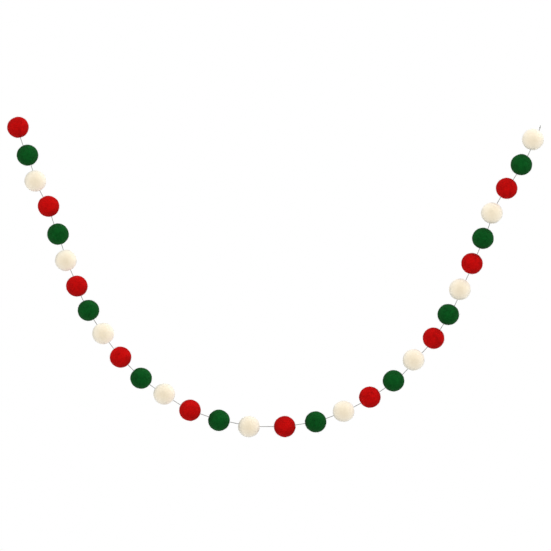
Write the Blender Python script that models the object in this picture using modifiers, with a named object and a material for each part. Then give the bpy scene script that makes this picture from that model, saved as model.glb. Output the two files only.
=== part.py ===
"""A garland of felt balls strung on one thin thread, hanging in a swag from its two ends.

Metres, +Z up. The garland hangs in the XZ plane and is seen from -Y. The origin is the tip of the stop knot
at the left end, where the garland is pinned up. Each ball has been needled through, a little off its middle,
and the thread runs straight inside a ball and straight from one ball to the next.
"""

import math
from typing import NamedTuple

import bmesh
import bpy
from mathutils import Vector

MM = 0.001

BALL_DIAMETER = 20 * MM
BALL_SUBDIVISIONS = 3
THREAD_DIAMETER = 0.7 * MM
THREAD_SMOOTHNESS = 2  # bevel resolution, which gives eight sides
FIT_GAP = 0.3 * MM  # air between the thread and whatever it runs through or meets
BORE_SIDES = 12
BORE_OVERRUN = 2 * MM  # how far a bore's cutter sticks out of the ball at each mouth
KNOT_DIAMETER = 1.4 * MM
KNOT_LENGTH = 1.4 * MM
KNOT_ARC_STEPS = 6
KNOT_TURN_STEPS = 12
POCKET_SIDES = 12
TAIL_LENGTH = 1.2 * MM  # thread left standing past the right-hand knot
TAIL_END_DIAMETER = 0.6 * MM
STUB_RUN = Vector((1.3, 0.0, 5.0)) * MM  # from the last ball's mouth to the tip of the tail

BALL_RADIUS = BALL_DIAMETER / 2
THREAD_RADIUS = THREAD_DIAMETER / 2
KNOT_RADIUS = KNOT_DIAMETER / 2
# Both cutters are flat-sided, so each is a little larger, to keep the whole gap at its flats.
BORE_RADIUS = (THREAD_RADIUS + FIT_GAP) / math.cos(math.pi / BORE_SIDES)
POCKET_RADIUS = (KNOT_RADIUS + FIT_GAP) / math.cos(math.pi / POCKET_SIDES) ** 2

COLOUR_ORDER = ("red", "green", "cream")  # repeats along the garland from the left
FELT_COLOURS = {"red": (182, 14, 13), "green": (14, 75, 26), "cream": (240, 229, 203)}  # sRGB, 0 to 255
THREAD_COLOUR = (190, 190, 184)
FELT_ROUGHNESS = 0.95
THREAD_ROUGHNESS = 0.7


class Seat(NamedTuple):
    """A ball's place in the hanging plane, in millimetres from the first ball's middle.

    aside is how far the thread runs beside the line of centres to the next ball, positive on the outer,
    lower side of the swag. For the last ball it is where the thread comes out at the top.
    """

    x: float
    z: float
    aside: float


SEATS = (
    Seat(0.0, 0.0, 1.0),
    Seat(9.0, -26.5, -0.5),
    Seat(16.5, -51.0, 0.5),
    Seat(29.0, -75.0, 0.5),
    Seat(38.0, -101.5, -0.5),
    Seat(45.5, -126.5, -0.5),
    Seat(56.0, -151.0, 0.5),
    Seat(67.0, -174.0, 0.5),
    Seat(81.0, -196.0, 0.5),
    Seat(97.5, -218.5, 0.0),
    Seat(117.0, -238.5, 0.5),
    Seat(139.0, -253.5, 0.5),
    Seat(163.5, -269.0, 0.0),
    Seat(191.0, -278.5, -0.5),
    Seat(219.5, -284.5, 0.0),
    Seat(253.5, -284.5, 0.0),
    Seat(283.0, -280.0, 0.5),
    Seat(309.5, -270.0, 1.0),
    Seat(334.5, -256.5, 1.0),
    Seat(357.0, -241.0, 2.0),
    Seat(376.0, -221.0, 1.5),
    Seat(395.0, -200.5, 1.0),
    Seat(409.0, -178.0, 2.0),
    Seat(420.0, -154.0, 1.5),
    Seat(431.5, -129.5, 1.0),
    Seat(442.0, -105.5, 1.5),
    Seat(450.5, -81.5, -0.5),
    Seat(464.5, -58.0, 1.0),
    Seat(478.5, -35.5, 2.0),
    Seat(489.5, -11.5, 2.0),
)


class Ball(NamedTuple):
    """A ball's middle and the two mouths where the thread enters and leaves it."""

    centre: Vector
    enters: Vector
    leaves: Vector


def clear_scene():
    """Removes whatever the scene holds."""
    for obj in list(bpy.data.objects):
        bpy.data.objects.remove(obj, do_unlink=True)


def new_collection(name):
    """A collection in the scene."""
    collection = bpy.data.collections.new(name)
    bpy.context.scene.collection.children.link(collection)
    return collection


def linear_colour(srgb):
    """An 8-bit sRGB colour as the linear RGBA that a shader takes."""
    shares = [value / 255 for value in srgb]
    return (*(s / 12.92 if s <= 0.04045 else ((s + 0.055) / 1.055) ** 2.4 for s in shares), 1.0)


def new_material(name, srgb, roughness):
    """A plain material of one colour."""
    material = bpy.data.materials.new(name)
    material.use_nodes = True
    shader = material.node_tree.nodes["Principled BSDF"]
    shader.inputs["Base Color"].default_value = linear_colour(srgb)
    shader.inputs["Roughness"].default_value = roughness
    shader.inputs["Metallic"].default_value = 0.0
    return material


def thread_line(along, aside):
    """Steps from a ball's middle to its two mouths, for a thread that passes it this far to one side."""
    outwards = Vector((along.z, 0.0, -along.x)) * aside
    half_chord = along * math.sqrt(BALL_RADIUS**2 - aside**2)
    return outwards - half_chord, outwards + half_chord


def lay_out_balls():
    """Every ball with its mouths, from the left, set so that the first ball's upper mouth is the origin."""
    centres = [Vector((seat.x, 0.0, seat.z)) * MM for seat in SEATS]
    asides = [seat.aside * MM for seat in SEATS]
    links = [(b - a).normalized() for a, b in zip(centres, centres[1:])]
    after = [thread_line(along, aside) for along, aside in zip(links + links[-1:], asides)]
    before = [after[0], *after[:-1]]
    hanging_point = centres[0] + before[0][0]
    return [
        Ball(
            centre - hanging_point,
            centre + to_entry[0] - hanging_point,
            centre + to_exit[1] - hanging_point,
        )
        for centre, to_entry, to_exit in zip(centres, before, after)
    ]


def turn_to(obj, direction):
    """Turns an object so that its own Z axis lies along a direction."""
    obj.rotation_mode = "QUATERNION"
    obj.rotation_quaternion = direction.to_track_quat("Z", "Y")


def mesh_object(name, build, collection):
    """A new object whose mesh a function fills in."""
    mesh = bpy.data.meshes.new(name)
    shape = bmesh.new()
    build(shape)
    shape.to_mesh(mesh)
    shape.free()
    obj = bpy.data.objects.new(name, mesh)
    collection.objects.link(obj)
    return obj


def felt_ball_mesh(colour):
    """The round body that all the balls of one colour share."""
    mesh = bpy.data.meshes.new(f"felt_ball_{colour}")
    shape = bmesh.new()
    bmesh.ops.create_icosphere(shape, subdivisions=BALL_SUBDIVISIONS, radius=BALL_RADIUS)
    shape.to_mesh(mesh)
    shape.free()
    mesh.shade_smooth()
    mesh.materials.append(new_material(f"{colour}_felt", FELT_COLOURS[colour], FELT_ROUGHNESS))
    return mesh


def cut_away(obj, cutter):
    """Takes a cutter's shape out of an object."""
    cutter.hide_render = True
    cutter.display_type = "WIRE"
    cut = obj.modifiers.new(cutter.name, "BOOLEAN")
    cut.operation = "DIFFERENCE"
    cut.solver = "EXACT"
    cut.object = cutter


def bore_cutter(name, ball, collection):
    """A rod along the thread's way through a ball, with room for the thread to slide."""

    def rod(shape):
        bmesh.ops.create_cone(
            shape,
            cap_ends=True,
            segments=BORE_SIDES,
            radius1=BORE_RADIUS,
            radius2=BORE_RADIUS,
            depth=(ball.leaves - ball.enters).length + 2 * BORE_OVERRUN,
        )

    cutter = mesh_object(name, rod, collection)
    cutter.location = (ball.enters + ball.leaves) / 2
    turn_to(cutter, ball.leaves - ball.enters)
    return cutter


def pocket_cutter(name, place, collection):
    """A small round pocket for a knot, with the usual gap all round it."""

    def pocket(shape):
        bmesh.ops.create_uvsphere(
            shape,
            u_segments=POCKET_SIDES,
            v_segments=POCKET_SIDES // 2,
            radius=POCKET_RADIUS,
        )

    cutter = mesh_object(name, pocket, collection)
    cutter.location = place
    return cutter


def make_balls(balls, parts, cutters):
    """Every felt ball, each bored along the thread, and the first with a pocket for its knot."""
    meshes = {colour: felt_ball_mesh(colour) for colour in COLOUR_ORDER}
    for index, ball in enumerate(balls):
        colour = COLOUR_ORDER[index % len(COLOUR_ORDER)]
        name = f"ball_{index + 1:02d}_{colour}"
        obj = bpy.data.objects.new(name, meshes[colour])
        parts.objects.link(obj)
        obj.location = ball.centre
        turn_to(obj, ball.leaves - ball.enters)
        cut_away(obj, bore_cutter(f"bore_{index + 1:02d}", ball, cutters))
        if index == 0:
            into_ball = (ball.leaves - ball.enters).normalized()
            knot_middle = ball.enters + into_ball * KNOT_LENGTH / 2
            cut_away(obj, pocket_cutter("knot_pocket", knot_middle, cutters))


def make_thread(points, material, parts):
    """The one thread, from knot to knot, as a thin round tube through all the balls."""
    curve = bpy.data.curves.new("thread", "CURVE")
    curve.dimensions = "3D"
    curve.bevel_depth = THREAD_RADIUS
    curve.bevel_resolution = THREAD_SMOOTHNESS
    curve.use_fill_caps = True
    spline = curve.splines.new("POLY")
    spline.points.add(len(points) - 1)
    for spline_point, point in zip(spline.points, points):
        spline_point.co = (*point, 1.0)
    curve.materials.append(material)
    obj = bpy.data.objects.new("thread", curve)
    parts.objects.link(obj)


def knot_profile(tail_length):
    """A knot's outer side from its outer tip down to the thread, with the cut tail on top if it has one."""
    tail = []
    first_step = 0
    if tail_length:
        tail = [
            (0.0, tail_length),
            (TAIL_END_DIAMETER / 2, tail_length),
            (THREAD_RADIUS, tail_length - THREAD_RADIUS),
        ]
        first_step = 1
    bead = []
    for step in range(first_step, KNOT_ARC_STEPS + 1):
        angle = math.pi * step / KNOT_ARC_STEPS
        drop = (1 - math.cos(angle)) * KNOT_LENGTH / 2
        bead.append((KNOT_RADIUS * math.sin(angle), -drop))
    return tail + bead


def make_knot(name, tip, outwards, tail_length, material, parts):
    """A turned bead for a pulled-tight knot.

    tip is where the bead ends on its outer side, and outwards is the way the thread's end points.
    """

    def profile(shape):
        corners = [shape.verts.new((radius, 0.0, height)) for radius, height in knot_profile(tail_length)]
        for upper, lower in zip(corners, corners[1:]):
            shape.edges.new((upper, lower))

    obj = mesh_object(name, profile, parts)
    obj.location = tip
    turn_to(obj, outwards)
    turned = obj.modifiers.new("turned", "SCREW")
    turned.steps = KNOT_TURN_STEPS
    turned.render_steps = KNOT_TURN_STEPS
    turned.use_merge_vertices = True
    turned.merge_threshold = 0.01 * MM
    turned.use_smooth_shade = True
    obj.data.materials.append(material)


def main():
    """Builds the garland."""
    clear_scene()
    parts = new_collection("Pom-pom garland")
    cutters = new_collection("Cutters")
    balls = lay_out_balls()
    make_balls(balls, parts, cutters)

    cotton = new_material("thread", THREAD_COLOUR, THREAD_ROUGHNESS)
    knot_depth = KNOT_LENGTH + FIT_GAP
    first, last = balls[0], balls[-1]
    down_left_end = (first.leaves - first.enters).normalized()
    up_right_end = STUB_RUN.normalized()
    right_knot_tip = last.leaves + STUB_RUN - up_right_end * TAIL_LENGTH
    bends = [mouth for ball in balls for mouth in (ball.enters, ball.leaves)]
    thread_start = first.enters + down_left_end * knot_depth
    thread_end = right_knot_tip - up_right_end * knot_depth
    make_thread([thread_start, *bends[1:], thread_end], cotton, parts)
    make_knot("left_knot", first.enters, -down_left_end, 0.0, cotton, parts)
    make_knot("right_knot", right_knot_tip, up_right_end, TAIL_LENGTH, cotton, parts)


if __name__ == "__main__":
    main()
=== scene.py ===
"""The looks of a garland of felt balls strung on one thin thread, built over its fixed frame.

Metres, +Z up, seen from -Y, with the origin at the left end where the garland is pinned up. Each ball is a
lump of matted wool, drawn in a little where the needle went through, with loose fibres standing off it. The
thread is three plies twisted together, with a pulled-tight stop knot at each end.
"""

import logging
import math
import random
from dataclasses import dataclass
from enum import Enum
from typing import NamedTuple, Sequence

import bmesh
import bpy
from mathutils import Matrix, Vector, noise


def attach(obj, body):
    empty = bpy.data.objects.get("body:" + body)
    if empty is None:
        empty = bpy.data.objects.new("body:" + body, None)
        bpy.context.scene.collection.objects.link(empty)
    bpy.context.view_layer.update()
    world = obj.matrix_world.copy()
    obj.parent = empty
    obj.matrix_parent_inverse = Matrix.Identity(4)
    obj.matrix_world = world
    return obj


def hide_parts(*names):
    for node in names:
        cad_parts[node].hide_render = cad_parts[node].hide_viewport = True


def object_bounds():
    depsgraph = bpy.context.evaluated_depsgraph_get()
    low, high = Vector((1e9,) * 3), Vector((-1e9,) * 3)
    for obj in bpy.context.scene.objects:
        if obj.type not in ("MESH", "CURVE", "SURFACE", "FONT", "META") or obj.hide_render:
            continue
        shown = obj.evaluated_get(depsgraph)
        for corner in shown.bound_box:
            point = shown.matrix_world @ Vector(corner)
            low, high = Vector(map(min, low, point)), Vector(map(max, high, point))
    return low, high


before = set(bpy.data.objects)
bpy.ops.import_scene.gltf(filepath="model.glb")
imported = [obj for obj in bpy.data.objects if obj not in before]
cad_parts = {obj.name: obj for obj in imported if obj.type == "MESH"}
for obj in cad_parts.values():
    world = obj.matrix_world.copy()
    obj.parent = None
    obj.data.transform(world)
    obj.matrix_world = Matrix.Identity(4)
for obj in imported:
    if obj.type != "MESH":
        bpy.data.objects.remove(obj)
CAD_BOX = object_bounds()

MM = 0.001
BODY = "root"
FULL_TURN = 2 * math.pi
TOWARDS_VIEWER = Vector((0.0, -1.0, 0.0))
UP = Vector((0.0, 0.0, 1.0))
WHITE = (1.0, 1.0, 1.0, 1.0)
MIX_SHARE, MIX_FIRST, MIX_SECOND, MIX_RESULT = 0, 6, 7, 2  # a colour mix's sockets, by number
NOISE_MIDDLE = 0.5  # the value that smooth noise varies about
NOISE_ROUGHNESS = 0.6
HAIR_SHARE = 0.06  # of the noise's range, which a hair takes up
WOOL_SPECULAR = 0.02
PLIES = 3  # in the thread
FRAY_POWER = 4  # how late along a strand its plies spread
WELD_DISTANCE = 0.0001 * MM
SMOOTH_NOISE = (1.0, 2.0, 2)  # how fast noise fades, how much finer it gets, and how many times
MATTED_NOISE = (0.7, 2.1, 2)
BLANKS = 7  # different felt balls, each of which is strung several times, turned another way each time

Rgb = tuple[float, float, float]  # sRGB, from 0 to 255
Root = tuple[Vector, Vector]  # where a fibre stands, and the way straight out from there

log = logging.getLogger("garland")


class Seat(NamedTuple):
    """A ball's place in the hanging plane, in millimetres from the first ball's middle.

    aside is how far the thread runs beside the line of centres to the next ball, positive on the outer,
    lower side of the swag. For the last ball it is where the thread comes out at the top.
    """

    x: float
    z: float
    aside: float


SEATS = (
    Seat(0.0, 0.0, 1.0),
    Seat(9.0, -26.5, -0.5),
    Seat(16.5, -51.0, 0.5),
    Seat(29.0, -75.0, 0.5),
    Seat(38.0, -101.5, -0.5),
    Seat(45.5, -126.5, -0.5),
    Seat(56.0, -151.0, 0.5),
    Seat(67.0, -174.0, 0.5),
    Seat(81.0, -196.0, 0.5),
    Seat(97.5, -218.5, 0.0),
    Seat(117.0, -238.5, 0.5),
    Seat(139.0, -253.5, 0.5),
    Seat(163.5, -269.0, 0.0),
    Seat(191.0, -278.5, -0.5),
    Seat(219.5, -284.5, 0.0),
    Seat(253.5, -284.5, 0.0),
    Seat(283.0, -280.0, 0.5),
    Seat(309.5, -270.0, 1.0),
    Seat(334.5, -256.5, 1.0),
    Seat(357.0, -241.0, 2.0),
    Seat(376.0, -221.0, 1.5),
    Seat(395.0, -200.5, 1.0),
    Seat(409.0, -178.0, 2.0),
    Seat(420.0, -154.0, 1.5),
    Seat(431.5, -129.5, 1.0),
    Seat(442.0, -105.5, 1.5),
    Seat(450.5, -81.5, -0.5),
    Seat(464.5, -58.0, 1.0),
    Seat(478.5, -35.5, 2.0),
    Seat(489.5, -11.5, 2.0),
)


class Wool(Enum):
    """The colours of the balls, in the order in which they repeat from the left."""

    RED = "red"
    GREEN = "green"
    CREAM = "cream"


def linear_colour(srgb: Sequence[float]) -> tuple[float, float, float, float]:
    """Turns an 8-bit sRGB colour into the linear colour that a shader takes.

    Args:
        srgb: Red, green and blue, from 0 to 255.

    Returns:
        Linear red, green, blue and an alpha of 1.
    """
    shares = [value / 255 for value in srgb]
    linear = [s / 12.92 if s <= 0.04045 else ((s + 0.055) / 1.055) ** 2.4 for s in shares]
    return (*linear, 1.0)


def mesh_of(name: str, shape: bmesh.types.BMesh) -> bpy.types.Mesh:
    """Writes a shape to a mesh.

    Args:
        name: The mesh's name.
        shape: The shape, which is freed.

    Returns:
        The new mesh.
    """
    mesh = bpy.data.meshes.new(name)
    shape.to_mesh(mesh)
    shape.free()
    return mesh


def take_in(shape: bmesh.types.BMesh, mesh: bpy.types.Mesh) -> None:
    """Adds a mesh to a shape, and deletes the mesh."""
    shape.from_mesh(mesh)
    bpy.data.meshes.remove(mesh)


class Shade:
    """A shader socket that takes part in Python arithmetic, one Math node an operation."""

    def __init__(self, bench: "Bench", socket: bpy.types.NodeSocket) -> None:
        """Keeps the socket and the bench that adds its nodes."""
        self.bench = bench
        self.socket = socket

    def __add__(self, other: "Shade | float") -> "Shade":
        """self + other."""
        return self.bench.maths("ADD", self, other)

    def __radd__(self, other: float) -> "Shade":
        """other + self."""
        return self.bench.maths("ADD", other, self)

    def __sub__(self, other: "Shade | float") -> "Shade":
        """self - other."""
        return self.bench.maths("SUBTRACT", self, other)

    def __rsub__(self, other: float) -> "Shade":
        """other - self."""
        return self.bench.maths("SUBTRACT", other, self)

    def __rmul__(self, other: float) -> "Shade":
        """other * self."""
        return self.bench.maths("MULTIPLY", other, self)

    def __truediv__(self, other: "Shade | float") -> "Shade":
        """self / other."""
        return self.bench.maths("DIVIDE", self, other)

    def __abs__(self) -> "Shade":
        """The size of self without its sign."""
        return self.bench.maths("ABSOLUTE", self)

    def within_one(self) -> "Shade":
        """self, held between 0 and 1."""
        return self.bench.node("ShaderNodeClamp", {}, {"Value": self})


class Bench:
    """The nodes of one material."""

    def __init__(self, name: str) -> None:
        """Starts an empty material of that name."""
        self.material = bpy.data.materials.new(name)
        self.material.use_nodes = True
        self.tree = self.material.node_tree
        self.tree.nodes.clear()

    def node(self, kind: str, settings: dict, sockets: dict, output: str | int = 0) -> Shade | None:
        """Adds a node.

        Args:
            kind: The node's type.
            settings: Its properties, which are set first.
            sockets: A value or a Shade for each input named or numbered.
            output: The output that is wanted.

        Returns:
            That output, or None from a node without outputs.
        """
        made = self.tree.nodes.new(kind)
        for key, value in settings.items():
            setattr(made, key, value)
        for key, value in sockets.items():
            if isinstance(value, Shade):
                self.tree.links.new(value.socket, made.inputs[key])
            else:
                made.inputs[key].default_value = value
        return Shade(self, made.outputs[output]) if len(made.outputs) else None

    def maths(self, operation: str, *values: Shade | float) -> Shade:
        """A Math node on these values."""
        return self.node("ShaderNodeMath", {"operation": operation}, dict(enumerate(values)))

    def spot(self) -> Shade:
        """The place on the piece, in its own metres."""
        return self.node("ShaderNodeTexCoord", {}, {}, "Object")

    def noise(self, spot: Shade, size: float, detail: float = 0.0, output: str = "Fac") -> Shade:
        """Smooth noise with features of about that size in metres."""
        sockets = {"Vector": spot, "Scale": 1 / size, "Detail": detail, "Roughness": NOISE_ROUGHNESS}
        return self.node("ShaderNodeTexNoise", {}, sockets, output)

    def fibres(self, spot: Shade, turn: tuple[float, float, float], length: float, gap: float) -> Shade:
        """Thin lines, as of hairs that lie more or less along one direction.

        Args:
            spot: Where on the piece.
            turn: How +Z is turned to point along the hairs, as Euler angles.
            length: About how long they are.
            gap: About how far apart they lie.

        Returns:
            1 along the middle of a hair, and 0 off it.
        """
        sockets = {"Vector": spot, "Rotation": turn, "Scale": (gap, gap, length)}
        laid = self.node("ShaderNodeMapping", {"vector_type": "TEXTURE"}, sockets)
        return (1 - abs(self.noise(laid, 1.0) - NOISE_MIDDLE) / HAIR_SHARE).within_one()

    def between(self, amount: Shade, first: Shade | tuple, second: tuple) -> Shade:
        """A colour between two, at that share of the way from the first to the second."""
        sockets = {MIX_SHARE: amount, MIX_FIRST: first, MIX_SECOND: second}
        return self.node("ShaderNodeMix", {"data_type": "RGBA"}, sockets, MIX_RESULT)

    def bump(self, height: Shade, depth: float, strength: float) -> Shade:
        """The normal over a relief that is depth metres from its low to its high places."""
        sockets = {"Strength": strength, "Distance": depth, "Height": height}
        return self.node("ShaderNodeBump", {}, sockets)

    def finish(self, sockets: dict) -> bpy.types.Material:
        """Adds the surface shader.

        Args:
            sockets: A value or a Shade for each of its inputs that differs from the default.

        Returns:
            The finished material.
        """
        surface = self.node("ShaderNodeBsdfPrincipled", {}, sockets, "BSDF")
        self.node("ShaderNodeOutputMaterial", {}, {"Surface": surface})
        return self.material


@dataclass(frozen=True)
class FeltFinish:
    """Matted wool of one colour."""

    slot: str
    mottle_and_hollow_shade: Rgb  # darker mottling, and painted shade in the hollows of the felt
    dyed: Rgb  # over most of it
    fibre_colour_and_highlight: Rgb  # the loose fibres' own colour, and painted light along the raised fibres of the felt
    scatter: float  # how evenly the pile scatters light, from 0 to 1
    nap: float  # the sheen of the fibre ends
    nap_width: float
    nap_tint: Rgb
    tips: Rgb  # of the loose fibres
    contrast: float = 1.0  # of the mottling and of the painted shade in the hollows
    middle_tone: float = 0.6  # from the darkest mottling and painted hollow shade, which is 0, to dyed, which is 1
    patch_size: float = 7 * MM
    patch_weight: float = 0.8
    clump_size: float = 2.8 * MM
    clump_weight: float = 1.8
    tuft_size: float = 1.2 * MM
    tuft_weight: float = 0.6
    grain_size: float = 0.12 * MM
    grain_weight: float = 1.2
    curl_size: float = 2.2 * MM
    curl: float = 2.4 * MM
    fibre_length: float = 3.0 * MM
    fibre_gap: float = 0.34 * MM
    fibre_strength: float = 0.45
    fibre_highlight_share: float = 0.5  # of the way from the ground to the lighter fibre colour with its painted light, along a fibre
    lays: tuple[tuple[float, float], ...] = ((0, 0), (63, 0), (63, 72), (63, 144), (63, 216), (63, 288))
    relief: float = 0.09 * MM
    relief_strength: float = 0.9
    fibre_rise: float = 0.6  # shares of the relief
    clump_rise: float = 0.6
    grain_rise: float = 0.4
    polish: float = 0.1  # how much less rough a fibre is than the wool round it
    tip_roughness: float = 0.8

    def material(self) -> bpy.types.Material:
        """Makes the felt, mottled and covered in fibres that cross each other and curl, with painted light
        along the fibres and painted shade in the hollows.

        Returns:
            The material of the ball itself.
        """
        bench = Bench(self.slot)
        spot = bench.spot()
        wander = bench.noise(spot, self.curl_size, output="Color")
        step = {0: wander, 1: (self.curl,) * 3, 2: spot}
        curled = bench.node("ShaderNodeVectorMath", {"operation": "MULTIPLY_ADD"}, step)
        fibres = 0.0
        for tip, round_about in self.lays:
            turn = (math.radians(tip), 0.0, math.radians(round_about))
            fibres = fibres + bench.fibres(curled, turn, self.fibre_length, self.fibre_gap)
        fibres = (self.fibre_strength * fibres).within_one()
        grain = bench.noise(spot, self.grain_size, detail=2.0)
        patches = bench.noise(spot, self.patch_size)
        clumps = bench.noise(spot, self.clump_size, detail=2.0)
        tufts = bench.noise(spot, self.tuft_size)
        # Painted shade: the clumps and the grain also sink the relief, so the felt is darker where it is
        # low; the patches and tufts mottle the dye at random.
        soft = self.patch_weight * patches + self.clump_weight * clumps + self.tuft_weight * tufts
        weights = self.patch_weight + self.clump_weight + self.tuft_weight + self.grain_weight
        mottling_and_shade = soft + self.grain_weight * grain - weights * NOISE_MIDDLE
        tone = (self.middle_tone + self.contrast * mottling_and_shade).within_one()
        # The ground colour runs from the darker mottling and painted hollow shade to the dyed wool.
        ground = bench.between(tone, linear_colour(self.mottle_and_hollow_shade), linear_colour(self.dyed))
        height = self.fibre_rise * fibres + self.grain_rise * grain + self.clump_rise * clumps
        return bench.finish(
            {
                # Painted light: the colour goes towards the lighter fibre colour along the fibres, which
                # the relief also raises.
                "Base Color": bench.between(self.fibre_highlight_share * fibres, ground, linear_colour(self.fibre_colour_and_highlight)),
                "Roughness": (1.0 - self.polish * fibres).within_one(),
                "Normal": bench.bump(height, self.relief, self.relief_strength),
                **self.pile(),
            }
        )

    def fuzz_material(self) -> bpy.types.Material:
        """Makes the loose fibres' wool, each place a little nearer to the tips' colour than the next.

        Returns:
            The material of the fibres that stand off the ball.
        """
        bench = Bench(f"{self.slot}_fuzz")
        tone = bench.noise(bench.spot(), self.clump_size, detail=1.0)
        return bench.finish(
            {
                "Base Color": bench.between(tone, linear_colour(self.fibre_colour_and_highlight), linear_colour(self.tips)),
                "Roughness": (self.tip_roughness + (1.0 - self.tip_roughness) * tone).within_one(),
                **self.pile(),
            }
        )

    def pile(self) -> dict:
        """Describes how the wool's fibre ends take the light.

        Returns:
            The shader's settings that the felt and its loose fibres share.
        """
        return {
            "Diffuse Roughness": self.scatter,
            "Specular IOR Level": WOOL_SPECULAR,
            "Sheen Weight": self.nap,
            "Sheen Roughness": self.nap_width,
            "Sheen Tint": linear_colour(self.nap_tint),
        }


@dataclass(frozen=True)
class ThreadFinish:
    """Pale spun thread, with fine fibres winding round each ply."""

    slot: str
    shaded: Rgb  # painted shade between the fibres
    lit: Rgb  # painted light along them
    fibres_round: int = 7
    fibre_turn: float = 1.1 * MM  # length of a fibre's one turn round its ply
    wander: float = 4.0  # of a fibre from its course, in radians
    patch_size: float = 9 * MM
    patch_weight: float = 1.2
    streak_weight: float = 0.5
    darkening: float = 0.35
    relief: float = 0.02 * MM
    relief_strength: float = 0.5
    roughness: float = 0.85
    polish: float = 0.2  # how much less rough the top of a fibre is
    specular: float = 0.3
    nap: float = 0.1
    nap_width: float = 0.4

    def material(self) -> bpy.types.Material:
        """Makes the thread's finish, with painted light and shade in streaks that wind along the plies on
        their own map.

        Returns:
            The material of the thread and its knots.
        """
        bench = Bench(self.slot)
        spot = bench.spot()
        lay = bench.node("ShaderNodeUVMap", {}, {}, "UV")
        along = bench.node("ShaderNodeSeparateXYZ", {}, {"Vector": lay}, "X")
        around = bench.node("ShaderNodeSeparateXYZ", {}, {"Vector": lay}, "Y")
        wobble = bench.noise(spot, self.fibre_turn)
        winding = FULL_TURN * (along / self.fibre_turn - self.fibres_round * around) + self.wander * wobble
        streaks = 0.5 + 0.5 * bench.maths("SINE", winding)
        patches = bench.noise(spot, self.patch_size, detail=2.0)
        # Painted light along the fibres and painted shade between them: the tone mixes the lit and the
        # shaded colour.
        tone = (self.streak_weight * streaks + self.patch_weight * patches - self.darkening).within_one()
        return bench.finish(
            {
                "Base Color": bench.between(tone, linear_colour(self.shaded), linear_colour(self.lit)),
                "Roughness": (self.roughness - self.polish * streaks).within_one(),
                "Normal": bench.bump(streaks, self.relief, self.relief_strength),
                "Specular IOR Level": self.specular,
                "Sheen Weight": self.nap,
                "Sheen Roughness": self.nap_width,
            }
        )


FELTS = {
    Wool.RED: FeltFinish(
        slot="red_felt",
        mottle_and_hollow_shade=(150, 6, 7),
        dyed=(206, 11, 11),
        fibre_colour_and_highlight=(214, 21, 18),
        scatter=0.0,
        nap=0.03,
        nap_width=0.5,
        nap_tint=(255, 160, 160),
        tips=(160, 40, 42),
    ),
    Wool.GREEN: FeltFinish(
        slot="green_felt",
        mottle_and_hollow_shade=(6, 54, 15),
        dyed=(10, 85, 28),
        fibre_colour_and_highlight=(20, 98, 40),
        scatter=0.0,
        nap=0.05,
        nap_width=0.5,
        nap_tint=(200, 255, 215),
        tips=(62, 96, 68),
    ),
    Wool.CREAM: FeltFinish(
        slot="cream_felt",
        mottle_and_hollow_shade=(242, 227, 197),
        dyed=(253, 242, 217),
        fibre_colour_and_highlight=(254, 245, 225),
        scatter=1.0,
        nap=0.9,
        nap_width=0.8,
        nap_tint=(255, 255, 252),
        tips=(255, 254, 249),
        contrast=0.5,
        relief=0.05 * MM,
    ),
}
THREAD = ThreadFinish(slot="thread", shaded=(122, 122, 118), lit=(174, 174, 168))


class Place(NamedTuple):
    """A ball's middle and the two mouths where the thread enters and leaves it."""

    centre: Vector
    enters: Vector
    leaves: Vector


@dataclass(frozen=True)
class Swag:
    """How the garland hangs: where each ball sits and where the thread turns."""

    ball_radius: float = 10 * MM
    stub_run: Vector = Vector((1.3, 0.0, 5.0)) * MM  # from the last ball's mouth to the tip of the tail
    tail_length: float = 1.2 * MM
    knot_length: float = 1.4 * MM

    def thread_line(self, along: Vector, aside: float) -> tuple[Vector, Vector]:
        """Finds where a thread that passes a ball's middle on one side goes in and comes out.

        Args:
            along: The thread's direction.
            aside: How far from the middle it runs, in metres.

        Returns:
            The steps from the ball's middle to the two mouths.
        """
        outwards = Vector((along.z, 0.0, -along.x)) * aside
        half_chord = along * math.sqrt(self.ball_radius**2 - aside**2)
        return outwards - half_chord, outwards + half_chord

    def places(self) -> list[Place]:
        """Works out where the balls hang, with the first ball's upper mouth at the origin.

        Returns:
            Every ball's place, from the left.
        """
        centres = [Vector((seat.x, 0.0, seat.z)) * MM for seat in SEATS]
        asides = [seat.aside * MM for seat in SEATS]
        links = [(b - a).normalized() for a, b in zip(centres, centres[1:])]
        after = [self.thread_line(along, aside) for along, aside in zip(links + links[-1:], asides)]
        before = [after[0], *after[:-1]]
        hanging_point = centres[0] + before[0][0]
        return [
            Place(
                centre - hanging_point,
                centre + to_entry[0] - hanging_point,
                centre + to_exit[1] - hanging_point,
            )
            for centre, to_entry, to_exit in zip(centres, before, after)
        ]

    def left_end_direction(self) -> Vector:
        """The way out of the first ball along its bore."""
        first = self.places()[0]
        return (first.enters - first.leaves).normalized()

    def right_end_direction(self) -> Vector:
        """The way out of the last ball along the stub."""
        return self.stub_run.normalized()

    def right_knot_tip(self) -> Vector:
        """Where the right-hand knot ends and its tail begins."""
        return self.places()[-1].leaves + self.stub_run - self.right_end_direction() * self.tail_length

    def turning_points(self) -> list[Vector]:
        """Works out the thread's line, from the middle of one knot to the middle of the other.

        Returns:
            The thread's two ends and, between them, each mouth in turn.
        """
        places = self.places()
        mouths = [mouth for place in places for mouth in (place.enters, place.leaves)]
        start = places[0].enters - self.left_end_direction() * self.knot_length / 2
        end = self.right_knot_tip() - self.right_end_direction() * self.knot_length / 2
        return [start, *mouths[1:], end]


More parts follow.
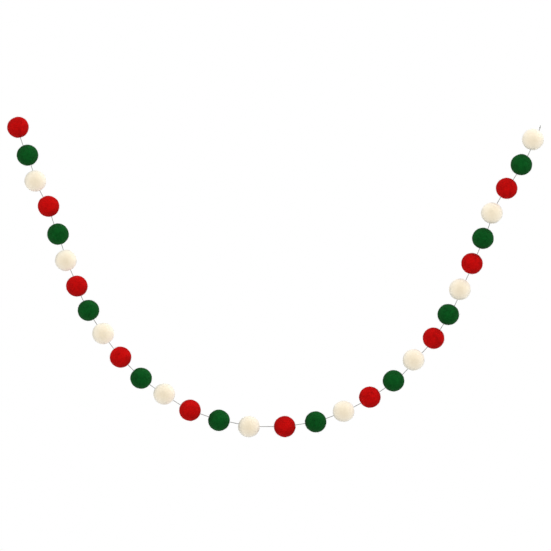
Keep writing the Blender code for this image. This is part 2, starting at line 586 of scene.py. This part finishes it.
@dataclass(frozen=True)
class Fuzz:
    """Loose fibres that stand off a surface and curl over."""

    shortest: float
    longest: float
    thickness: float
    most_lean: float  # of a root from straight out, in radians
    most_curl: float  # of a tip from its root, in radians
    least_curl: float = 0.3  # as a share of the most
    sway: float = math.radians(75)  # the most that a curl turns from the side to which its root leans
    kinds: int = 16
    section: float = 0.9 * MM  # a fibre bends once, and once more for each of these in its length
    map_name: str = "UVMap"
    map_strip: float = 0.11  # the share of the map's width, at its left edge, that the fibres take

    def fibre(self, chance: random.Random) -> bpy.types.Mesh:
        """A tapering fibre that grows from the origin along +Z and curls towards -Y.

        Args:
            chance: Where its length and curl come from. Short ones come up most often.

        Returns:
            Its mesh.
        """
        length = self.shortest + (self.longest - self.shortest) * chance.random() ** 2
        curl = chance.uniform(self.least_curl, 1.0) * self.most_curl
        shape = bmesh.new()
        layer = shape.loops.layers.uv.new(self.map_name)
        bmesh.ops.create_cone(
            shape,
            cap_ends=True,
            segments=3,
            radius1=self.thickness / 2,
            radius2=0.0,
            depth=length,
            matrix=Matrix.Translation((0.0, 0.0, length / 2)),
            calc_uvs=True,
        )
        sides = [edge for edge in shape.edges if abs(edge.verts[0].co.z - edge.verts[1].co.z) > length / 2]
        bmesh.ops.subdivide_edges(shape, edges=sides, cuts=1 + int(length / self.section))
        for vertex in shape.verts:
            turn = curl * vertex.co.z / length
            middle = Vector((0.0, math.cos(turn) - 1, math.sin(turn))) * (length / curl)
            across = Vector((0.0, math.cos(turn), math.sin(turn))) * vertex.co.y
            vertex.co = middle + across + Vector((vertex.co.x, 0.0, 0.0))
        for corner in (corner for face in shape.faces for corner in face.loops):
            corner[layer].uv.x *= self.map_strip
        return mesh_of("fibre", shape)

    def planted(self, roots: Sequence[Root], chance: random.Random) -> bpy.types.Mesh:
        """A fibre at each root, leaning and turned by chance.

        Args:
            roots: Where they stand.
            chance: Where the choice of fibre and its lean come from.

        Returns:
            One mesh with all the fibres.
        """
        kinds = [self.fibre(chance) for _ in range(self.kinds)]
        shape = bmesh.new()
        for place, outwards in roots:
            spin = Matrix.Rotation(chance.uniform(-self.sway, self.sway), 4, "Z")
            lean = Matrix.Rotation(self.most_lean * math.sqrt(chance.random()), 4, "X")
            turn = Matrix.Rotation(chance.uniform(0, FULL_TURN), 4, "Z")
            upright = outwards.to_track_quat("Z", "Y").to_matrix().to_4x4()
            before = len(shape.verts)
            shape.from_mesh(chance.choice(kinds))
            shape.verts.ensure_lookup_table()
            matrix = Matrix.Translation(place) @ upright @ turn @ lean @ spin
            for vertex in shape.verts[before:]:
                vertex.co = matrix @ vertex.co
        for kind in kinds:
            bpy.data.meshes.remove(kind)
        return mesh_of("fuzz", shape)


def new_piece(name: str, shape: bmesh.types.BMesh, *materials: bpy.types.Material) -> bpy.types.Object:
    """Makes a finished piece of a mesh that is already in place.

    Args:
        name: The piece's name.
        shape: Its mesh, in the row frame. It is freed here.
        materials: Its finishes, in the order of its faces' numbers.

    Returns:
        The object, at the origin, riding on the garland's one body.
    """
    mesh = mesh_of(name, shape)
    mesh.shade_smooth()
    for material in materials:
        mesh.materials.append(material)
    for face in mesh.polygons:
        face.use_smooth = face.material_index == 0
    piece = bpy.data.objects.new(name, mesh)
    bpy.context.scene.collection.objects.link(piece)
    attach(piece, BODY)
    log.info("%s: %d faces", name, len(mesh.polygons))
    return piece


class Mouth(NamedTuple):
    """Where the felt is drawn in round the thread."""

    middle: Vector
    inwards: Vector
    reach: float
    depth: float


@dataclass(frozen=True)
class FeltBlank:
    """A felt ball as it comes from rolling, before it is strung: a little lumpy, matted and fuzzy."""

    number: int
    radius: float = 10.18 * MM
    cuts: int = 27
    lump_size: float = 8 * MM
    lump_height: float = 0.17 * MM
    knead_size: float = 2.6 * MM
    knead_height: float = 0.08 * MM
    mat_size: float = 1.1 * MM
    mat_height: float = 0.035 * MM
    fibre_count: int = 1250
    root_depth: float = 0.03 * MM
    noise_apart: float = 10.0  # in radii, from one ball's place in the noise to the next one's
    fuzz: Fuzz = Fuzz(
        shortest=0.5 * MM,
        longest=2.8 * MM,
        thickness=0.042 * MM,
        most_lean=math.radians(75),
        most_curl=math.radians(120),
        map_name="OFBake",
    )

    def relief(self, spot: Vector) -> float:
        """Adds up the lumps, the kneading marks and the matted pile.

        Args:
            spot: The place, which is also its place in the noise.

        Returns:
            How far the felt stands proud of the round there.
        """
        lumps = noise.fractal(spot / self.lump_size, *SMOOTH_NOISE) * self.lump_height
        kneading = noise.fractal(spot / self.knead_size, *SMOOTH_NOISE) * self.knead_height
        matting = noise.fractal(spot / self.mat_size, *MATTED_NOISE) * self.mat_height
        return lumps + kneading + matting

    def model(self) -> bpy.types.Mesh:
        """Makes the ball round the origin.

        Returns:
            Its mesh, in which the fibres' faces wear the second material.
        """
        chance = random.Random(self.number)
        shape = bmesh.new()
        shape.loops.layers.uv.new(self.fuzz.map_name)
        bmesh.ops.create_cube(shape, size=2.0, calc_uvs=True)
        bmesh.ops.subdivide_edges(shape, edges=shape.edges[:], cuts=self.cuts, use_grid_fill=True)
        offset = Vector((self.number * self.radius * self.noise_apart, 0.0, 0.0))
        eighth_turn = FULL_TURN / 8  # a cube's side lies this far round on each side of its middle
        for vertex in shape.verts:
            outwards = Vector([math.tan(share * eighth_turn) for share in vertex.co]).normalized()
            spot = outwards * self.radius
            vertex.co = spot + outwards * self.relief(spot + offset)
        shape.normal_update()
        shape.verts.ensure_lookup_table()
        rooted = [shape.verts[i] for i in chance.choices(range(len(shape.verts)), k=self.fibre_count)]
        roots = [(vertex.co - vertex.normal * self.root_depth, vertex.normal) for vertex in rooted]
        ball_faces = len(shape.faces)
        take_in(shape, self.fuzz.planted(roots, chance))
        shape.faces.ensure_lookup_table()
        for face in shape.faces[ball_faces:]:
            face.material_index = 1
        return mesh_of("felt_blank", shape)


@dataclass
class FeltBall:
    """One felt ball on the thread, drawn in a little at each side where the needle went through."""

    number: int
    wool: Wool
    place: Place
    blank: bpy.types.Mesh
    knot_sinks_in: bool = False
    out_of_round: float = 0.012
    width_share: float = 1.011  # of a round ball's width; the balls hang a little flattened
    height_share: float = 0.989
    mouth_reach: float = 0.85 * MM
    mouth_depth: float = 0.8 * MM
    knot_mouth_reach: float = 1.15 * MM
    knot_mouth_depth: float = 1.6 * MM
    fine_rings: tuple[float, ...] = (2.6, 1.5)  # in reaches; the faces inside each are split once
    pull_ends: float = 3.0  # in reaches

    def cad_node(self) -> str:
        """The name of the solid that this ball stands for."""
        return f"ball_{self.number:02d}_{self.wool.value}"

    def mouths(self) -> list[Mouth]:
        """Finds where the needle went through.

        Returns:
            The two places where the thread goes in.
        """
        through = (self.place.leaves - self.place.enters).normalized()
        sizes = (self.mouth_reach, self.mouth_depth)
        first_sizes = (self.knot_mouth_reach, self.knot_mouth_depth) if self.knot_sinks_in else sizes
        return [
            Mouth(self.place.enters, through, *first_sizes),
            Mouth(self.place.leaves, -through, *sizes),
        ]

    def turned_into_place(self) -> Matrix:
        """Turns a blank by chance, presses it a little out of round and moves it to its place.

        Returns:
            The transform that does so.
        """
        chance = random.Random(self.number)
        turn = Matrix.Identity(4)
        for axis in "XYZ":
            turn = Matrix.Rotation(chance.uniform(0, FULL_TURN), 4, axis) @ turn
        press = Matrix.Diagonal((1 + chance.uniform(-1, 1) * self.out_of_round, 1.0, 1.0, 1.0))
        flatten = Matrix.Diagonal((self.width_share, 1.0, self.height_share, 1.0))
        return Matrix.Translation(self.place.centre) @ flatten @ turn @ press

    def draw_in(self, shape: bmesh.types.BMesh, mouth: Mouth) -> None:
        """Splits the felt's faces round a mouth, and pulls them in.

        Args:
            shape: The ball's mesh.
            mouth: Where the thread goes in.
        """
        for ring in self.fine_rings:
            size = ring * mouth.reach
            near = [v for v in shape.verts if (v.co - mouth.middle).length < size]
            touching = dict.fromkeys(e for v in near for e in v.link_edges)
            felt = [e for e in touching if not any(f.material_index for f in e.link_faces)]
            edges = [e for e in felt if all((v.co - mouth.middle).length < size for v in e.verts)]
            bmesh.ops.subdivide_edges(shape, edges=edges, cuts=1, use_grid_fill=True)
        for vertex in shape.verts:
            reaches = (vertex.co - mouth.middle).length / mouth.reach
            if reaches < self.pull_ends:
                vertex.co += mouth.inwards * mouth.depth * math.exp(-(reaches**2))

    def model(self) -> bmesh.types.BMesh:
        """Strings the blank on the thread.

        Returns:
            The ball's mesh in place, fibres and all.
        """
        shape = bmesh.new()
        shape.from_mesh(self.blank)
        bmesh.ops.transform(shape, matrix=self.turned_into_place(), verts=shape.verts)
        for mouth in self.mouths():
            self.draw_in(shape, mouth)
        bmesh.ops.triangulate(shape, faces=[face for face in shape.faces if len(face.verts) > 3])
        return shape

    def build(self, felt: bpy.types.Material, fuzz: bpy.types.Material) -> bpy.types.Object:
        """Makes the ball.

        Args:
            felt: The matted wool's finish.
            fuzz: The loose fibres' finish.

        Returns:
            The finished piece.
        """
        piece = new_piece(f"felt_ball_{self.number:02d}", self.model(), felt, fuzz)
        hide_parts(self.cad_node())
        return piece


class Station(NamedTuple):
    """A point down the middle of the thread, and how far the plies have turned there."""

    middle: Vector
    turned: float
    shows: bool


def spaced(start: Vector, end: Vector, step: float) -> list[Vector]:
    """Evenly spaced points from start up to, but not with, end, about step apart."""
    count = max(1, round((end - start).length / step))
    return [start.lerp(end, i / count) for i in range(count)]


def laid_up(
    middles: Sequence[Vector],
    turns: Sequence[float],
    width: float,
    fray: float = 0.0,
) -> list[list[Vector]]:
    """Winds the plies of a thread round its middle line.

    Args:
        middles: The points down the thread's middle.
        turns: How far round, in radians, the plies have turned at each.
        width: The thread's diameter.
        fray: How much further from the middle, as a share, the plies stand at the thread's end.

    Returns:
        The points down the middle of each ply.
    """
    side = TOWARDS_VIEWER
    offset = width / 2 - ply_radius(width)
    runs: list[list[Vector]] = [[] for _ in range(PLIES)]
    for index, (middle, turn) in enumerate(zip(middles, turns)):
        along = (middles[min(index + 1, len(middles) - 1)] - middles[max(index - 1, 0)]).normalized()
        side = (side - along * side.dot(along)).normalized()
        spread = offset * (1 + fray * (index / len(middles)) ** FRAY_POWER)
        for number, run in enumerate(runs):
            round_about = Matrix.Rotation(turn + FULL_TURN * number / PLIES, 3, along)
            run.append(middle + round_about @ side * spread)
    return runs


def ply_radius(width: float) -> float:
    """The radius of each of the plies that touch each other inside a thread of this width."""
    return width / 2 / (1 + 1 / math.sin(math.pi / PLIES))


def turning(middles: Sequence[Vector], twist: float) -> list[float]:
    """Turns the plies steadily along a line.

    Args:
        middles: The points down the thread's middle.
        twist: The length of one whole turn.

    Returns:
        How far round the plies are at each point, in radians.
    """
    turns = [0.0]
    for before, after in zip(middles, middles[1:]):
        turns.append(turns[-1] + (after - before).length / twist * FULL_TURN)
    return turns


def tube(runs: Sequence[Sequence[Vector]], radius: float, smoothness: int) -> bmesh.types.BMesh:
    """Makes round tubes along rows of points.

    Args:
        runs: The points down the middle of each tube.
        radius: The tubes' radius.
        smoothness: The bevel's resolution; 1 gives six sides.

    Returns:
        The welded mesh. Its map runs along the tube in metres, by the first step's length, and once
        around it.
    """
    curve = bpy.data.curves.new("tube", "CURVE")
    curve.dimensions = "3D"
    curve.bevel_depth = radius
    curve.bevel_resolution = smoothness
    curve.use_fill_caps = True
    for run in runs:
        spline = curve.splines.new("POLY")
        spline.points.add(len(run) - 1)
        for point, place in zip(spline.points, run):
            point.co = (*place, 1.0)
    bare = bpy.data.objects.new("tube", curve)
    mesh = bpy.data.meshes.new_from_object(bare)
    bpy.data.objects.remove(bare)
    bpy.data.curves.remove(curve)
    shape = bmesh.new()
    take_in(shape, mesh)
    bmesh.ops.remove_doubles(shape, verts=shape.verts, dist=WELD_DISTANCE)
    bmesh.ops.recalc_face_normals(shape, faces=shape.faces)
    layer = shape.loops.layers.uv.active
    length = (runs[0][1] - runs[0][0]).length * (len(runs[0]) - 1)
    for corner in (corner for face in shape.faces for corner in face.loops):
        corner[layer].uv.x *= length
    return shape


@dataclass
class PliedThread:
    """The one thread through all the balls: three plies with a twist, straight between mouths."""

    swag: Swag
    diameter: float = 0.7 * MM
    twist: float = 2.3 * MM  # length of one whole turn
    bend: float = 1.0 * MM  # how far before and after a mouth the thread curves
    shown_inside: float = 1.0 * MM  # how far down a mouth the thread can be seen
    shown_step: float = 0.22 * MM
    hidden_step: float = 2.5 * MM
    corner_steps: int = 8
    fibre_count: int = 600
    root_height: float = 0.35  # of a fibre's root from the thread's middle, in diameters
    fuzz: Fuzz = Fuzz(
        shortest=0.25 * MM,
        longest=1.1 * MM,
        thickness=0.028 * MM,
        most_lean=math.radians(80),
        most_curl=math.radians(120),
    )

    def middle_line(self) -> list[tuple[Vector, bool]]:
        """Walks down the middle of the thread, in short steps where it shows.

        Returns:
            Points along it, each with whether the thread shows there.
        """
        corners = self.swag.turning_points()
        line: list[tuple[Vector, bool]] = []
        starts = corners[0]
        for index, (corner, after) in enumerate(zip(corners[1:], corners[2:] + [None])):
            along = (corner - starts).normalized()
            ends = corner - along * self.bend if after else corner
            if index % 2:
                line += [(spot, True) for spot in spaced(starts, ends, self.shown_step)]
            else:
                margin = along * self.shown_inside
                line += [(spot, True) for spot in spaced(starts, starts + margin, self.shown_step)]
                line += [(spot, False) for spot in spaced(starts + margin, ends - margin, self.hidden_step)]
                line += [(spot, True) for spot in spaced(ends - margin, ends, self.shown_step)]
            if after:
                leaves = corner + (after - corner).normalized() * self.bend
                for step in range(self.corner_steps):
                    share = step / self.corner_steps
                    line.append((ends.lerp(corner, share).lerp(corner.lerp(leaves, share), share), True))
                starts = leaves
            else:
                line.append((ends, True))
        return line

    def stations(self) -> list[Station]:
        """Turns the plies along the middle line, steadily wherever it shows.

        Returns:
            The middle line, with how far the plies have turned.
        """
        made: list[Station] = []
        turned = 0.0
        for middle, shows in self.middle_line():
            if made and shows and made[-1].shows:
                turned += (middle - made[-1].middle).length / self.twist * FULL_TURN
            made.append(Station(middle, turned, shows))
        return made

    def fibre_roots(self, stations: Sequence[Station]) -> list[Root]:
        """Picks by chance where loose fibres stand off the stretches that show.

        Args:
            stations: The middle line.

        Returns:
            The fibres' roots.
        """
        chance = random.Random(len(SEATS) + 1)
        shown = [i for i, (a, b) in enumerate(zip(stations, stations[1:])) if a.shows and b.shows]
        roots = []
        for index in chance.choices(shown, k=self.fibre_count):
            along = (stations[index + 1].middle - stations[index].middle).normalized()
            outwards = Matrix.Rotation(chance.uniform(0, FULL_TURN), 3, along) @ TOWARDS_VIEWER
            roots.append((stations[index].middle + outwards * self.diameter * self.root_height, outwards))
        return roots

    def build(self, material: bpy.types.Material, knots: Sequence[bpy.types.Object]) -> bpy.types.Object:
        """Args:
            material: Its finish.
            knots: The pieces on it. Not used.

        Returns:
            The finished piece.
        """
        stations = self.stations()
        middles = [station.middle for station in stations]
        plies = laid_up(middles, [station.turned for station in stations], self.diameter)
        shape = tube(plies, ply_radius(self.diameter), 1)
        take_in(shape, self.fuzz.planted(self.fibre_roots(stations), random.Random(len(SEATS))))
        piece = new_piece("plied_thread", shape, material)
        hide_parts("thread")
        length = sum((b - a).length for a, b in zip(middles, middles[1:]))
        log.info("thread: %.4f m from knot to knot", length)
        return piece


@dataclass
class StopKnot:
    """A stop knot pulled tight: the thread laced round itself, on a core that runs on through it."""

    name: str
    cad_node: str
    tip: Vector  # where the knot ends on its outer side
    outwards: Vector
    tail: float  # how far the cut end stands past the knot
    width: float = 1.5 * MM
    length: float = 1.4 * MM
    strand: float = 0.44 * MM  # the laced thread, drawn thin by the pull
    core: float = 0.66 * MM
    twist: float = 1.7 * MM
    core_step: float = 0.1 * MM
    lacing_points: int = 120
    laps: int = 2
    crossings: int = 3
    swing_share: float = 0.32  # of the lacing in and out, in its own radius
    fray: float = 0.9
    end_fibres: int = 60
    end_reach: float = 0.4  # of the end's fibres from its middle, in core widths
    fuzz: Fuzz = Fuzz(
        shortest=0.4 * MM,
        longest=0.9 * MM,
        thickness=0.02 * MM,
        most_lean=math.radians(34),
        most_curl=math.radians(50),
    )

    def lacing(self) -> list[Vector]:
        """Laces a strand round the origin, along +Z, from inside the knot and back there.

        Returns:
            The points down the strand's middle.
        """
        outer = (self.width - self.strand) / 2
        swing = outer * self.swing_share
        rise = (self.length - self.strand) / 2
        run = []
        for step in range(self.lacing_points):
            share = math.pi / self.crossings + FULL_TURN * step / (self.lacing_points - 1)
            radius = outer - swing + swing * math.cos(self.crossings * share)
            angle = self.laps * share
            height = rise * math.sin(self.crossings * share)
            run.append(Vector((radius * math.cos(angle), radius * math.sin(angle), height)))
        return run

    def plied(self, middles: Sequence[Vector], width: float, fray: float = 0.0) -> bpy.types.Mesh:
        """Lays a plied strand along these points.

        Args:
            middles: The points down its middle.
            width: Its diameter.
            fray: How much the plies spread at its end, as laid_up has it.

        Returns:
            Its mesh.
        """
        shape = tube(laid_up(middles, turning(middles, self.twist), width, fray), ply_radius(width), 1)
        return mesh_of("strand", shape)

    def frayed_end(self, top: Vector) -> bpy.types.Mesh:
        """Stands loose fibres on the cut end.

        Args:
            top: The middle of the end, with the tail along +Z.

        Returns:
            The fibres' mesh.
        """
        chance = random.Random(self.cad_node)
        reach = self.core * self.end_reach
        roots = []
        for _ in range(self.end_fibres):
            spot = Vector((chance.uniform(-reach, reach), chance.uniform(-reach, reach), -reach / 2))
            roots.append((top + spot, UP))
        return self.fuzz.planted(roots, chance)

    def build(self, material: bpy.types.Material) -> bpy.types.Object:
        """Makes the knot.

        Args:
            material: The thread's finish.

        Returns:
            The finished piece.
        """
        top = UP * (self.length / 2 + self.tail)
        core = [*spaced(UP * -self.length / 2, top, self.core_step), top]
        fray = self.fray if self.tail else 0.0
        parts = [self.plied(self.lacing(), self.strand), self.plied(core, self.core, fray)]
        if self.tail:
            parts.append(self.frayed_end(top))
        shape = bmesh.new()
        for part in parts:
            take_in(shape, part)
        middle = self.tip - self.outwards * self.length / 2
        placed = Matrix.Translation(middle) @ self.outwards.to_track_quat("Z", "Y").to_matrix().to_4x4()
        bmesh.ops.transform(shape, matrix=placed, verts=shape.verts)
        piece = new_piece(self.name, shape, material)
        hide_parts(self.cad_node)
        return piece


@dataclass(frozen=True)
class SoftBox:
    """A large soft light that looks at the garland."""

    name: str
    direction: tuple[float, float, float]  # from the garland
    distance: float
    side: float
    share: float  # of full white, on a surface that faces it

    def build(self, aim: Vector) -> None:
        """Hangs the light, and gives it the power that lights a white surface to its share.

        Args:
            aim: What it looks at.
        """
        lamp = bpy.data.lights.new(self.name, "AREA")
        lamp.shape = "SQUARE"
        lamp.size = self.side
        lamp.energy = self.share * (math.pi * self.distance) ** 2
        outwards = Vector(self.direction).normalized()
        holder = bpy.data.objects.new(self.name, lamp)
        holder.location = aim + outwards * self.distance
        holder.rotation_euler = outwards.to_track_quat("Z", "Y").to_euler()
        holder.visible_camera = False
        bpy.context.scene.collection.objects.link(holder)


@dataclass
class Studio:
    """The camera, the pale floor and the soft light."""

    view_width: float = 523.8 * MM  # across the picture, in the garland's plane
    view_rise: float = 1.4 * MM  # of the picture's middle over the garland's
    camera_distance: float = 4.5
    camera_reach: float = 100.0
    sensor: float = 36.0
    floor_drop: float = 1.5
    floor_side: float = 24.0
    floor_colour: tuple[float, float, float, float] = (0.9, 0.9, 0.9, 1.0)
    floor_glow: float = 0.5
    room_light: float = 0.28
    boxes: tuple[SoftBox, ...] = (
        SoftBox("front", (0.12, -1.0, 0.08), 4.0, 2.4, 0.65),
        SoftBox("top", (0.25, 0.08, 0.96), 3.0, 2.0, 0.49),
        SoftBox("right", (0.97, 0.08, 0.2), 3.0, 2.0, 0.32),
        SoftBox("left", (-0.98, 0.08, 0.1), 3.0, 2.0, 0.34),
        SoftBox("low", (-0.25, 0.6, -0.76), 1.3, 0.9, 0.5),
        SoftBox("back", (0.0, 1.0, 0.1), 4.0, 2.4, 0.4),
    )

    def aim(self) -> Vector:
        """Finds what the camera and the lights look at.

        Returns:
            The point in the garland's plane at the picture's middle.
        """
        low, high = CAD_BOX
        middle = (low + high) / 2
        return Vector((middle.x, 0.0, middle.z + self.view_rise))

    def place_camera(self) -> None:
        """Looks straight at the garland through a long lens."""
        lens = bpy.data.cameras.new("camera")
        lens.sensor_width = self.sensor
        lens.lens = self.sensor * self.camera_distance / self.view_width
        lens.clip_end = self.camera_reach
        camera = bpy.data.objects.new("camera", lens)
        camera.location = self.aim() + TOWARDS_VIEWER * self.camera_distance
        camera.rotation_euler = (math.pi / 2, 0.0, 0.0)
        bpy.context.scene.collection.objects.link(camera)
        bpy.context.scene.camera = camera

    def lay_floor(self) -> None:
        """A wide pale floor well below the garland, too far down for the front view."""
        shape = bmesh.new()
        level = Matrix.Translation(self.aim() - UP * self.floor_drop)
        bmesh.ops.create_grid(shape, x_segments=1, y_segments=1, size=self.floor_side / 2, matrix=level)
        mesh = mesh_of("floor", shape)
        pale = {
            "Base Color": self.floor_colour,
            "Roughness": 1.0,
            "Specular IOR Level": 0.0,
            "Emission Color": WHITE,
            "Emission Strength": self.floor_glow,
        }
        mesh.materials.append(Bench("floor").finish(pale))
        floor = bpy.data.objects.new("floor", mesh)
        floor.visible_diffuse = False
        floor.visible_glossy = False
        bpy.context.scene.collection.objects.link(floor)

    def light_room(self) -> None:
        """Even white light from all round, and plain white behind the garland."""
        world = bpy.data.worlds.new("room")
        world.use_nodes = True
        nodes = world.node_tree.nodes
        links = world.node_tree.links
        path = nodes.new("ShaderNodeLightPath")
        strength = nodes.new("ShaderNodeMapRange")
        strength.inputs["To Min"].default_value = self.room_light
        strength.inputs["To Max"].default_value = 1.0
        links.new(path.outputs["Is Camera Ray"], strength.inputs["Value"])
        background = nodes["Background"]
        background.inputs["Color"].default_value = WHITE
        links.new(strength.outputs["Result"], background.inputs["Strength"])
        bpy.context.scene.world = world

    def build(self) -> None:
        """Sets up the whole studio."""
        self.place_camera()
        self.lay_floor()
        self.light_room()
        for box in self.boxes:
            box.build(self.aim())
        bpy.context.scene.view_settings.view_transform = "Standard"
        log.info("studio: camera %.2f m away, %d soft boxes", self.camera_distance, len(self.boxes))


def hang_balls(swag: Swag) -> None:
    """Makes all the balls, in their places on the thread.

    Args:
        swag: How the garland hangs.
    """
    blanks = [FeltBlank(number).model() for number in range(BLANKS)]
    finishes = {wool: (finish.material(), finish.fuzz_material()) for wool, finish in FELTS.items()}
    colours = list(Wool)
    for number, place in enumerate(swag.places(), start=1):
        wool = colours[(number - 1) % len(colours)]
        ball = FeltBall(number, wool, place, blanks[number % BLANKS], knot_sinks_in=number == 1)
        ball.build(*finishes[wool])
    for blank in blanks:
        bpy.data.meshes.remove(blank)


def main() -> None:
    """Builds the studio, the thread with its knots, and the balls."""
    logging.basicConfig(level=logging.INFO, format="%(name)s: %(message)s")
    Studio().build()
    swag = Swag()
    cotton = THREAD.material()
    knots = [
        StopKnot("left_stop_knot", "left_knot", Vector(), swag.left_end_direction(), 0.0).build(cotton),
        StopKnot(
            "right_stop_knot",
            "right_knot",
            swag.right_knot_tip(),
            swag.right_end_direction(),
            swag.tail_length,
        ).build(cotton),
    ]
    PliedThread(swag).build(cotton, knots)
    hang_balls(swag)


if __name__ == "__main__":
    main()
